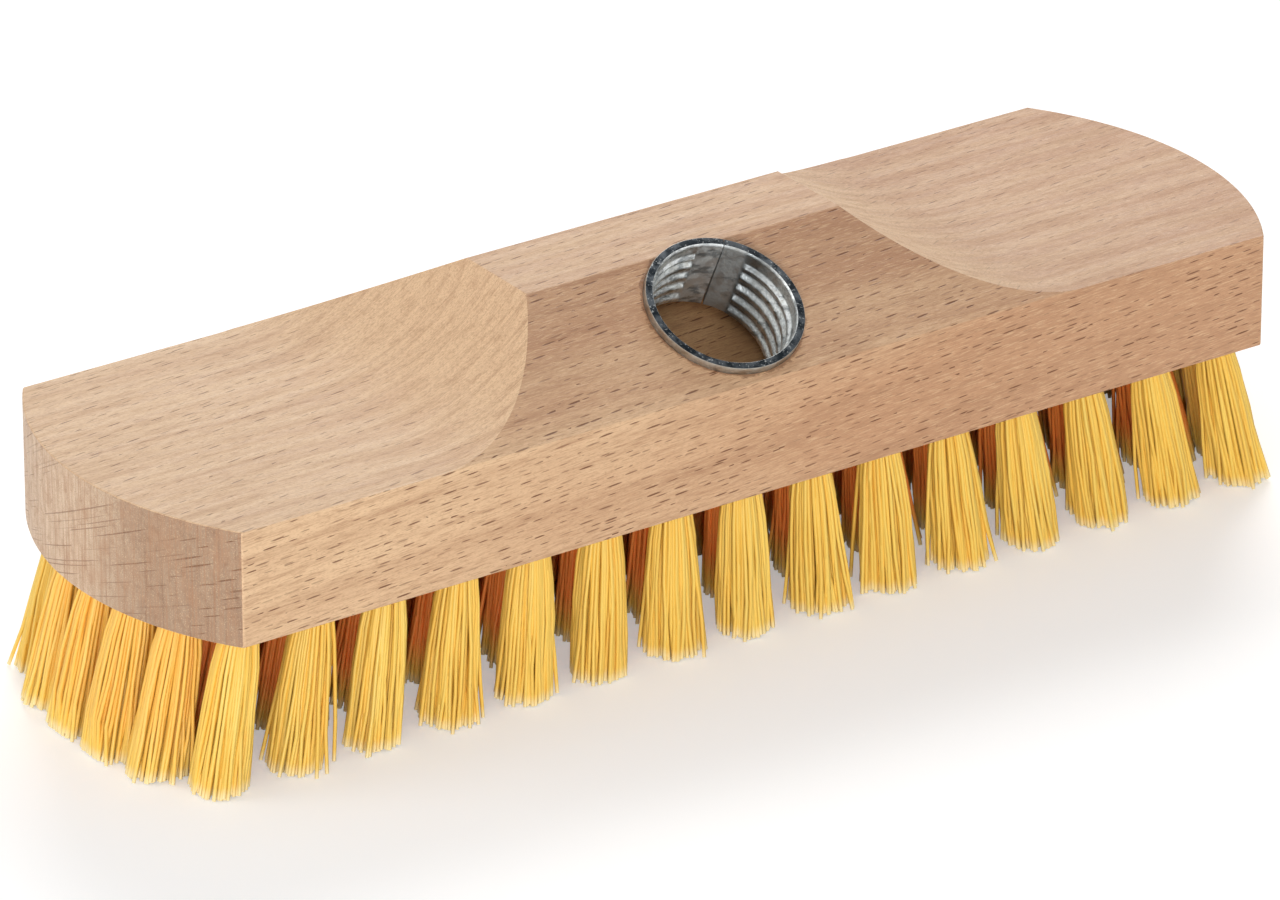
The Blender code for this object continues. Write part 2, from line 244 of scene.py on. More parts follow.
def math_node(tree, operation, *values, clamp=False):
    inputs = dict(enumerate(values))
    return add_node(tree, "ShaderNodeMath", inputs, operation=operation, use_clamp=clamp).outputs[0]


def times(tree, first, *factors):
    for factor in factors:
        first = math_node(tree, "MULTIPLY", first, factor)
    return first


def add_scaled(tree, base, value, factor, clamp=False):
    """The base plus the value times the factor."""
    return math_node(tree, "MULTIPLY_ADD", value, factor, base, clamp=clamp)


def vector_node(tree, operation, *values):
    inputs = dict(enumerate(values))
    made = add_node(tree, "ShaderNodeVectorMath", inputs, operation=operation)
    gives_number = operation in ("LENGTH", "DISTANCE", "DOT_PRODUCT")
    return made.outputs["Value" if gives_number else "Vector"]


def split(tree, vector):
    return add_node(tree, "ShaderNodeSeparateXYZ", {0: vector}).outputs


def join(tree, x, y, z):
    return add_node(tree, "ShaderNodeCombineXYZ", {0: x, 1: y, 2: z}).outputs[0]


def fade(tree, value, start, end, low=0.0, high=1.0):
    """Low before start, high after end, and smooth between them."""
    inputs = {"Value": value, "From Min": start, "From Max": end, "To Min": low, "To Max": high}
    return add_node(tree, "ShaderNodeMapRange", inputs, interpolation_type="SMOOTHSTEP").outputs[0]


def mix_colours(tree, share, first, second, blend="MIX"):
    made = add_node(tree, "ShaderNodeMix", data_type="RGBA", blend_type=blend)
    for socket, value in ((0, share), (6, first), (7, second)):
        if isinstance(value, bpy.types.NodeSocket):
            tree.links.new(value, made.inputs[socket])
        else:
            made.inputs[socket].default_value = (*value, 1.0)
    return made.outputs[2]


def new_group(name, inputs, outputs):
    """An empty shader node group with these named inputs and outputs."""
    group = bpy.data.node_groups.new(name, "ShaderNodeTree")
    for label, kind, value in inputs:
        socket = group.interface.new_socket(label, in_out="INPUT", socket_type="NodeSocket" + kind)
        if value is not None:
            socket.default_value = value
    for label, kind in outputs:
        group.interface.new_socket(label, in_out="OUTPUT", socket_type="NodeSocket" + kind)
    entry = group.nodes.new("NodeGroupInput").outputs
    ending = group.nodes.new("NodeGroupOutput").inputs
    return group, entry, ending


def use_group(tree, group, inputs):
    return add_node(tree, "ShaderNodeGroup", inputs, node_tree=group).outputs


def new_material(name):
    made = bpy.data.materials.new(name)
    made.use_nodes = True
    return made, made.node_tree, made.node_tree.nodes["Principled BSDF"]


def add_relief(tree, shader, height, strength, depth):
    inputs = {"Height": height, "Strength": strength, "Distance": depth}
    bump = add_node(tree, "ShaderNodeBump", inputs).outputs[0]
    tree.links.new(bump, shader.inputs["Normal"])


def build_mottle():
    """Uneven patches, stretched along the axes by Size. Used on wood, steel and filament."""
    group, entry, ending = new_group(
        "mottle",
        [
            ("Vector", "Vector", None),
            ("Size", "Vector", (0.01, 0.01, 0.01)),
            ("Detail", "Float", 3.0),
            ("Contrast", "Float", 1.0),
        ],
        [("Value", "Float")],
    )
    in_patches = vector_node(group, "DIVIDE", entry["Vector"], entry["Size"])
    inputs = {"Vector": in_patches, "Scale": 1.0, "Detail": entry["Detail"], "Roughness": 0.6}
    noise = add_node(group, "ShaderNodeTexNoise", inputs, noise_dimensions="3D").outputs["Fac"]
    centred = math_node(group, "SUBTRACT", noise, 0.5)
    raised = add_scaled(group, 0.5, centred, entry["Contrast"], clamp=True)
    group.links.new(raised, ending["Value"])
    return group


mottle = build_mottle()


def mottled(tree, place, size, detail, contrast):
    inputs = {"Vector": place, "Size": size, "Detail": detail, "Contrast": contrast}
    return use_group(tree, mottle, inputs)["Value"]


GRAIN_RISE = math.radians(3.8)
PITH = (0.0, 0.105, 0.0)
RING_WIDTH = 0.0027
RING_BEND = 2.4
RING_BEND_SIZE = (0.09, 0.022, 0.022)
LATE_WOOD = 0.92
BANDS_PER_RING = 0.37
RAY_SIZE = (0.0045, 0.030, 0.00120)
RAY_SHARE = 0.88
RAYS_MEASURED_AT = 0.115
RAY_SHORTENED = 3.0
RAY_DEEPENED = 0.35
RAY_THINNED_EDGEWISE = 20.0
RAY_THINNED_FACEWISE = 10.5
END_FACING = (0.74, 0.80)


def build_beech_grain():
    """Growth rings round a pith far behind and below, long streaks, fine fibres, and rays:
    thin sheets that run out from the pith and show as short dashes where a face cuts them."""
    group, entry, ending = new_group(
        "beech_grain",
        [
            ("Vector", "Vector", None),
            ("Normal", "Vector", None),
            ("Ring Width", "Float", RING_WIDTH),
            ("Ray Size", "Vector", RAY_SIZE),
            ("Ray Share", "Float", RAY_SHARE),
        ],
        [
            ("Rings", "Float"),
            ("Bands", "Float"),
            ("Streaks", "Float"),
            ("Fibres", "Float"),
            ("Sheets", "Float"),
            ("Speckle", "Float"),
            ("Rays", "Float"),
        ],
    )
    turned = add_node(group, "ShaderNodeMapping", {"Vector": entry["Vector"]}, vector_type="POINT")
    turned.inputs["Rotation"].default_value = (0.0, GRAIN_RISE, 0.0)
    turned.inputs["Location"].default_value = (-PITH[0], -PITH[1], -PITH[2])
    grain = turned.outputs["Vector"]
    flat = vector_node(group, "MULTIPLY", grain, (0.0, 1.0, 1.0))
    from_pith = vector_node(group, "LENGTH", flat)

    count = math_node(group, "DIVIDE", from_pith, entry["Ring Width"])
    bends = mottled(group, grain, RING_BEND_SIZE, 2.0, 1.0)
    bent = add_scaled(group, count, bends, RING_BEND)
    ring = math_node(group, "FRACT", bent)
    rising = math_node(group, "POWER", fade(group, ring, 0.0, LATE_WOOD), 3.0)
    falling = fade(group, ring, LATE_WOOD, 1.0, 1.0, 0.0)
    ring_number = {"W": math_node(group, "FLOOR", bent)}
    own = add_node(group, "ShaderNodeTexWhiteNoise", ring_number, noise_dimensions="1D")
    strength = fade(group, own.outputs["Value"], 0.0, 1.0, 0.35, 1.0)
    group.links.new(times(group, rising, falling, strength), ending["Rings"])
    wave = math_node(group, "SINE", times(group, bent, BANDS_PER_RING, 2 * math.pi))
    group.links.new(add_scaled(group, 0.5, wave, 0.5), ending["Bands"])

    for label, size, detail, contrast in (
        ("Streaks", (0.030, 0.0016, 0.0016), 4.0, 1.6),
        ("Fibres", (0.0032, 0.00022, 0.00022), 2.0, 2.4),
        ("Sheets", (0.045, 0.00045, 0.016), 4.0, 2.4),
        ("Speckle", (0.0007, 0.00022, 0.00022), 1.0, 2.0),
    ):
        group.links.new(mottled(group, grain, size, detail, contrast), ending[label])

    at = split(group, grain)
    turn = math_node(group, "ARCTAN2", at[2], times(group, at[1], -1.0))
    unrolled = join(group, at[0], from_pith, times(group, turn, RAYS_MEASURED_AT))
    in_cells = vector_node(group, "DIVIDE", unrolled, entry["Ray Size"])
    cells = add_node(group, "ShaderNodeTexVoronoi", {"Vector": in_cells, "Scale": 1.0}).outputs
    lot = add_node(group, "ShaderNodeSeparateColor", {"Color": cells["Color"]}).outputs
    outwards = vector_node(group, "NORMALIZE", flat)
    facing_pith = vector_node(group, "DOT_PRODUCT", entry["Normal"], outwards)
    cut_across = math_node(group, "ABSOLUTE", facing_pith)
    towards_end = math_node(group, "ABSOLUTE", split(group, entry["Normal"])[0])
    thinned = fade(group, cut_across, 0.2, 0.9, RAY_THINNED_EDGEWISE, RAY_THINNED_FACEWISE)
    thinned = times(group, thinned, fade(group, towards_end, *END_FACING, 1.0, 0.5))
    to_middle = vector_node(group, "SUBTRACT", in_cells, cells["Position"])
    stretch = join(group, RAY_SHORTENED, RAY_DEEPENED, thinned)
    from_middle = vector_node(group, "LENGTH", vector_node(group, "MULTIPLY", to_middle, stretch))
    from_middle = times(group, from_middle, fade(group, lot[1], 0.0, 1.0, 0.8, 1.6))
    lens = fade(group, from_middle, 1.0, 0.60)
    shown = math_node(group, "LESS_THAN", lot[0], entry["Ray Share"])
    rays = times(group, lens, shown, fade(group, lot[2], -0.6, 1.0))
    endwise = fade(group, towards_end, 0.1, 0.4, 1.0, 0.12)
    endwise = math_node(group, "ADD", endwise, fade(group, towards_end, *END_FACING, 0.0, 0.9))
    seen = times(group, fade(group, cut_across, 0.05, 0.55), endwise)
    seen = math_node(group, "MAXIMUM", seen, fade(group, towards_end, *END_FACING, 0.0, 0.7))
    group.links.new(times(group, rays, seen), ending["Rays"])
    return group


beech_grain = build_beech_grain()

BEECH_PALE = (0.785, 0.54, 0.328)
BEECH_ROSY = (0.57, 0.322, 0.182)
BEECH_STREAK = (0.42, 0.225, 0.125)
RAY_BROWN = (0.17, 0.072, 0.034)
END_GRAIN_TINT = (0.90, 1.01, 1.19)
SLOPE_TONE_AND_SHADE = (0.765, 0.685, 0.655)
END_CORNER_SHADE = (0.56, 0.51, 0.485)
BORE_SHADE = (0.75, 0.64, 0.50)
PATCH_SIZE = (0.070, 0.030, 0.030)
BLOTCH_SIZE = (0.006, 0.004, 0.006)
SAW_MARK_SIZE = (0.01, 0.00028, 0.012)
CUTTER_LINE_SIZE = (0.0006, 0.05, 0.0006)
TEAR_SIZE = (0.0016, 0.0012, 0.0012)
TEARS_END_AT = 0.0149
TEARS_VARY = 0.0009
BORE_MARGIN = 0.0002
WOOD_RELIEF = 0.00012


def off_bore_axis(tree, place):
    """How far a place is from the middle line of the sleeve's bore."""
    away = vector_node(tree, "SUBTRACT", place, BORE_MOUTH)
    return vector_node(tree, "LENGTH", vector_node(tree, "CROSS_PRODUCT", away, OUT_OF_SLOPE))


def build_beech():
    """Planed beech: greyer sawn end grain, torn fibres round the sleeve's bore and fine cutter lines
    where the coves meet the roof. Painted light and shade as well: streaks and rays fainter on the top
    faces (painted sheen), paler coves (painted light), a darker, redder slope, side faces and +X end
    (partly the wood's tone, partly painted shade), and darker end corners and bore depths (painted
    shade)."""
    made, tree, shader = new_material("planed_beech")
    place = add_node(tree, "ShaderNodeTexCoord").outputs["Object"]
    normal = add_node(tree, "ShaderNodeNewGeometry").outputs["Normal"]
    facing = split(tree, normal)
    at = split(tree, place)
    grain = use_group(tree, beech_grain, {"Vector": place, "Normal": normal})

    towards_end = math_node(tree, "ABSOLUTE", facing[0])
    end_face = fade(tree, towards_end, *END_FACING)
    slope_face = times(tree, fade(tree, facing[1], -0.35, -0.48), fade(tree, facing[1], -0.95, -0.75))
    up_slope = fade(tree, at[2], END_TOP - 0.002, ROOF_TOP - 0.004)
    top_sheen_mask = fade(tree, facing[2], 0.90, 0.99)
    side_face = fade(tree, math_node(tree, "ABSOLUTE", facing[1]), 0.90, 0.98)
    on_cove = fade(tree, towards_end, 0.08, 0.5)
    on_cove = times(tree, on_cove, math_node(tree, "SUBTRACT", 1.0, end_face))

    rosy_tone_and_shade = add_scaled(tree, 0.10, mottled(tree, place, PATCH_SIZE, 2.0, 1.6), 0.7)
    # Darker and rosier towards +X: partly the wood's own tone, partly painted shade.
    rosy_tone_and_shade = add_scaled(tree, rosy_tone_and_shade, at[0], 4.4, clamp=True)
    rosy_tone_and_shade = add_scaled(tree, rosy_tone_and_shade, math_node(tree, "SUBTRACT", grain["Bands"], 0.5), 0.35)
    # Side faces darker and rosier, more so towards +X: partly the wood's tone, partly painted shade.
    rosy_tone_and_shade = add_scaled(tree, rosy_tone_and_shade, side_face, add_scaled(tree, 0.20, at[0], 3.0))
    # Coves painted paler: painted light.
    rosy_tone_and_shade = add_scaled(tree, rosy_tone_and_shade, on_cove, -0.70, clamp=True)
    wood = mix_colours(tree, rosy_tone_and_shade, BEECH_PALE, BEECH_ROSY)
    # Streaks fainter on the top faces: painted sheen.
    streak_share = add_scaled(tree, 0.62, top_sheen_mask, -0.24)
    streak_share = times(tree, fade(tree, grain["Streaks"], 0.42, 1.0), streak_share)
    wood = mix_colours(tree, streak_share, wood, BEECH_STREAK)
    ring_share = times(tree, grain["Rings"], add_scaled(tree, 0.30, end_face, -0.12))
    wood = mix_colours(tree, ring_share, wood, BEECH_STREAK)
    sheet_share = add_scaled(tree, add_scaled(tree, 0.08, on_cove, 0.34), end_face, 0.42)
    sheet_share = times(tree, fade(tree, grain["Sheets"], 0.48, 0.95), sheet_share)
    wood = mix_colours(tree, sheet_share, wood, BEECH_STREAK)
    # The front slope is multiplied darker and redder: partly the planed face's own tone, partly painted
    # shade.
    wood = mix_colours(tree, times(tree, slope_face, up_slope), wood, SLOPE_TONE_AND_SHADE, "MULTIPLY")
    wood = mix_colours(tree, end_face, wood, END_GRAIN_TINT, "MULTIPLY")
    # The end faces darken towards the front corner: painted shade.
    end_corner_shade = times(tree, end_face, fade(tree, at[1], 0.004, -0.020))
    wood = mix_colours(tree, end_corner_shade, wood, END_CORNER_SHADE, "MULTIPLY")
    wood = mix_colours(tree, fade(tree, grain["Fibres"], 0.45, 0.95, 0.0, 0.50), wood, BEECH_STREAK)
    wood = mix_colours(tree, fade(tree, grain["Fibres"], 0.42, 0.05, 0.0, 0.50), wood, BEECH_PALE)
    wood = mix_colours(tree, fade(tree, grain["Speckle"], 0.5, 1.0, 0.0, 0.34), wood, BEECH_STREAK)
    # Rays fainter on the top faces: painted sheen.
    ray_share = times(tree, grain["Rays"], add_scaled(tree, 0.95, top_sheen_mask, -0.10))
    wood = mix_colours(tree, ray_share, wood, RAY_BROWN)

    blotches = mottled(tree, place, BLOTCH_SIZE, 3.0, 2.2)
    blotches = times(tree, fade(tree, blotches, 0.45, 1.0, 0.0, 0.40), end_face)
    wood = mix_colours(tree, blotches, wood, BEECH_STREAK)
    saw_marks = mottled(tree, place, SAW_MARK_SIZE, 3.0, 2.5)
    saw_share = times(tree, fade(tree, saw_marks, 0.4, 0.9, 0.0, 0.55), end_face)
    wood = mix_colours(tree, saw_share, wood, BEECH_STREAK)

    tears = mottled(tree, place, TEAR_SIZE, 3.0, 2.5)
    from_mouth = vector_node(tree, "DISTANCE", place, BORE_MOUTH)
    tears_end = add_scaled(tree, TEARS_END_AT, tears, -TEARS_VARY)
    past_tears = math_node(tree, "SUBTRACT", from_mouth, tears_end)
    torn = fade(tree, past_tears, -0.0002, 0.0003, 0.65, 0.0)
    wood = mix_colours(tree, times(tree, torn, fade(tree, facing[2], 0.5, 0.8)), wood, RAY_BROWN)
    # Deeper than 6 mm into the bore the wood is multiplied darker: painted shade in the recess.
    over_slope = vector_node(tree, "SUBTRACT", place, BORE_MOUTH)
    over_slope = vector_node(tree, "DOT_PRODUCT", over_slope, OUT_OF_SLOPE)
    bore_limit = SLEEVE_DIAMETER / 2 + BORE_MARGIN
    bore_shade = math_node(tree, "LESS_THAN", off_bore_axis(tree, place), bore_limit)
    above_floor = math_node(tree, "GREATER_THAN", over_slope, -BORE_DEPTH - BORE_MARGIN)
    bore_shade = times(tree, bore_shade, above_floor, fade(tree, over_slope, -0.006, -0.012))
    wood = mix_colours(tree, bore_shade, wood, BORE_SHADE, "MULTIPLY")
    tree.links.new(wood, shader.inputs["Base Color"])

    from_middle = math_node(tree, "ABSOLUTE", at[0])
    by_ridge = times(
        tree,
        fade(tree, from_middle, RIDGE_X - 0.002, RIDGE_X + 0.001),
        fade(tree, from_middle, RIDGE_X + 0.030, RIDGE_X + 0.008),
        on_cove,
    )
    cutter_lines = times(tree, mottled(tree, place, CUTTER_LINE_SIZE, 1.0, 2.0), by_ridge)
    height = add_scaled(tree, grain["Fibres"], grain["Speckle"], 0.7)
    height = add_scaled(tree, height, grain["Rays"], -0.9)
    height = add_scaled(tree, height, cutter_lines, 1.2)
    sawn = add_scaled(tree, saw_marks, grain["Sheets"], 1.5)
    sawn = add_scaled(tree, sawn, grain["Rays"], -1.5)
    height = add_scaled(tree, height, times(tree, sawn, end_face), 1.2)
    add_relief(tree, shader, height, 0.40, WOOD_RELIEF)
    rough = fade(tree, grain["Streaks"], 0.2, 0.8, 0.46, 0.58)
    tree.links.new(rough, shader.inputs["Roughness"])
    shader.inputs["Specular IOR Level"].default_value = 0.25
    return made


planed_beech = build_beech()

TUFT_DIAMETER = 0.0055
TUFT_HOLE_DEPTH = 0.0070
HOLE_SIDES = 16
EDGE_INSET = 0.0080
SIDE_PITCH = 0.0143
END_PITCH = 0.0104
ROW_PITCH = 0.0130
ROW_END_SHARE = 0.75
END_FAN = math.radians(12.5)
SIDE_FAN = math.radians(2.5)

CORNER_Y = HALF_WIDTH - EDGE_INSET
TUFT_ARC_RADIUS = END_RADIUS - EDGE_INSET
TUFT_RADIUS = TUFT_DIAMETER / 2


def arc_x(y):
    """How far from the block's middle the arc of end tufts lies, at this y."""
    return END_CENTRE + math.sqrt(TUFT_ARC_RADIUS**2 - y**2)


def spread(half, pitch):
    """Even places from -half to half, as near to this pitch as fits."""
    steps = max(1, round(2 * half / pitch))
    return [half * (2 * step / steps - 1) for step in range(steps + 1)]


def lean_of(x, y):
    """How far a tuft's tip moves along X and Y for each metre down."""
    return math.tan(END_FAN * x / arc_x(0.0)), math.tan(SIDE_FAN * y / CORNER_Y)


side_places = spread(arc_x(CORNER_Y), SIDE_PITCH)
end_places = spread(CORNER_Y, END_PITCH)[1:-1]
pitch_along = side_places[1] - side_places[0]
inner_places = []
for count, y in enumerate(spread(CORNER_Y, ROW_PITCH)[1:-1]):
    shifted = [x + pitch_along / 2 for x in side_places[:-1]]
    reach = arc_x(y) - pitch_along * ROW_END_SHARE
    row_places = shifted if count % 2 == 0 else side_places[1:-1]
    inner_places.append([(x, y) for x in row_places if abs(x) < reach])

rows = {
    "front_row_bristles": [(x, -CORNER_Y) for x in side_places],
    "rear_row_bristles": [(x, CORNER_Y) for x in side_places],
    "left_end_bristles": [(-arc_x(y), y) for y in end_places],
    "right_end_bristles": [(arc_x(y), y) for y in end_places],
    "inner_row_1_bristles": inner_places[0],
    "inner_row_2_bristles": inner_places[1],
    "inner_row_3_bristles": inner_places[2],
}


def mouths_of(name, places):
    """Points at the mouths of these tuft holes, each with its tuft's lean."""
    mesh = bpy.data.meshes.new(name)
    mesh.from_pydata([(x, y, UNDERSIDE) for x, y in places], [], [])
    lean = mesh.attributes.new("lean", "FLOAT_VECTOR", "POINT")
    for point, (x, y) in zip(lean.data, places):
        point.vector = (*lean_of(x, y), 0.0)
    return new_object(name, mesh)


def new_geometry_tree(name, **inputs):
    """An empty geometry node tree, with its named inputs listed by their kind."""
    tree = bpy.data.node_groups.new(name, "GeometryNodeTree")
    tree.interface.new_socket("Geometry", in_out="INPUT", socket_type="NodeSocketGeometry")
    for kind, labels in inputs.items():
        for label in labels:
            tree.interface.new_socket(label, in_out="INPUT", socket_type="NodeSocket" + kind)
    tree.interface.new_socket("Geometry", in_out="OUTPUT", socket_type="NodeSocketGeometry")
    entry = tree.nodes.new("NodeGroupInput").outputs
    ending = tree.nodes.new("NodeGroupOutput").inputs
    return tree, entry, ending


def stored(tree, name, kind):
    """What an attribute holds, in a geometry node tree."""
    inputs = {"Name": name}
    return add_node(tree, "GeometryNodeInputNamedAttribute", inputs, data_type=kind).outputs[0]


def finish_tree(tree, geometry, material, ending):
    whole = add_node(tree, "GeometryNodeRealizeInstances", {0: geometry}).outputs[0]
    painted = add_node(tree, "GeometryNodeSetMaterial", {"Geometry": whole, "Material": material})
    tree.links.new(painted.outputs[0], ending[0])


def grow(piece, tree, values):
    """Runs a geometry node tree on the piece and keeps what it makes as the piece's mesh."""
    modifier = piece.modifiers.new(tree.name, "NODES")
    modifier.node_group = tree
    for item in tree.interface.items_tree:
        if item.in_out == "INPUT" and item.name in values:
            modifier[item.identifier] = values[item.name]
    apply_modifiers(piece)


def build_drilled_holes():
    """Drills a blind hole at each mouth, along its tuft's lean."""
    tree, entry, ending = new_geometry_tree(
        "drilled_tuft_holes",
        Object=["Mouths"],
        Float=["Radius", "Depth", "Overrun"],
        Int=["Sides"],
        Material=["Material"],
    )
    points = add_node(tree, "GeometryNodeObjectInfo", {"Object": entry["Mouths"]}).outputs["Geometry"]
    length = math_node(tree, "ADD", entry["Depth"], entry["Overrun"])
    sizes = {"Vertices": entry["Sides"], "Radius": entry["Radius"], "Depth": length}
    drill = add_node(tree, "GeometryNodeMeshCylinder", sizes, fill_type="NGON").outputs["Mesh"]
    rise = math_node(tree, "SUBTRACT", times(tree, length, 0.5), entry["Overrun"])
    moved = {"Geometry": drill, "Translation": join(tree, 0.0, 0.0, rise)}
    drill = add_node(tree, "GeometryNodeTransform", moved).outputs[0]
    up_hole = vector_node(tree, "SUBTRACT", (0.0, 0.0, 1.0), stored(tree, "lean", "FLOAT_VECTOR"))
    turn = add_node(tree, "FunctionNodeAlignRotationToVector", {"Vector": up_hole}, axis="Z").outputs[0]
    placed = {"Points": points, "Instance": drill, "Rotation": turn}
    drills = add_node(tree, "GeometryNodeInstanceOnPoints", placed).outputs[0]
    drills = add_node(tree, "GeometryNodeRealizeInstances", {0: drills}).outputs[0]
    cut = add_node(tree, "GeometryNodeMeshBoolean", operation="DIFFERENCE", solver="EXACT")
    tree.links.new(entry["Geometry"], cut.inputs[0])
    tree.links.new(drills, cut.inputs[1])
    finish_tree(tree, cut.outputs[0], entry["Material"], ending)
    return tree


every_mouth = mouths_of("every_mouth", [place for places in rows.values() for place in places])
grow(
    block,
    build_drilled_holes(),
    {
        "Mouths": every_mouth,
        "Radius": (TUFT_RADIUS + SEAT_GAP) / math.cos(math.pi / HOLE_SIDES),
        "Depth": TUFT_HOLE_DEPTH + SEAT_GAP,
        "Overrun": OVERRUN,
        "Sides": HOLE_SIDES,
        "Material": planed_beech,
    },
)
bpy.data.objects.remove(every_mouth)
block.data.shade_smooth()
block.data.set_sharp_from_angle(angle=SHARP_ANGLE)
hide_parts("block")
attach(block, "root")


# Tufts of filament
# Bundles of yellow polymer filament, folded in half and driven into the drilled holes with
# flat wire anchors. They fan out over the ends and are trimmed level.

TIP_RADIUS = 0.0051
END_TIP_RADIUS = 0.0056
INNER_TIP_RADIUS = 0.0062
OPENING_POWER = 0.38
FILAMENT_DIAMETER = 0.00071
FILAMENTS_PER_TUFT = 220
FILAMENTS_PER_INNER_TUFT = 235
FILAMENT_SIDES = 5
FILAMENT_SEGMENTS = 5
ROOT_IN_HOLE = 0.0065
GOLDEN_TURN = math.pi * (3 - math.sqrt(5))
UNEVEN_TURN = 0.25
UNEVEN_TRIM = 0.0008
WANDER = 0.0006
WANDER_STARTS = 0.12
WANDER_BETWEEN = 7.31
WANDER_ALONG = 2.6
STRAY_SHARE = 0.05
STRAY_REACH = 0.0018
INSIDE_BOX = 0.00039
FIRST_SEED = 17
SEED_STEP = 40

replaced_nodes = {
    "front_row_bristles": [f"tuft_front_{n + 1:02d}" for n in range(len(side_places))],
    "rear_row_bristles": [f"tuft_rear_{n + 1:02d}" for n in range(len(side_places))],
    "left_end_bristles": [f"tuft_left_{n + 1}" for n in range(len(end_places))],
    "right_end_bristles": [f"tuft_right_{n + 1}" for n in range(len(end_places))],
    "inner_row_1_bristles": ["inner_row_1"],
    "inner_row_2_bristles": ["inner_row_2"],
    "inner_row_3_bristles": ["inner_row_3"],
}


def scaled(tree, vector, factor):
    inputs = {0: vector, "Scale": factor}
    return add_node(tree, "ShaderNodeVectorMath", inputs, operation="SCALE").outputs["Vector"]


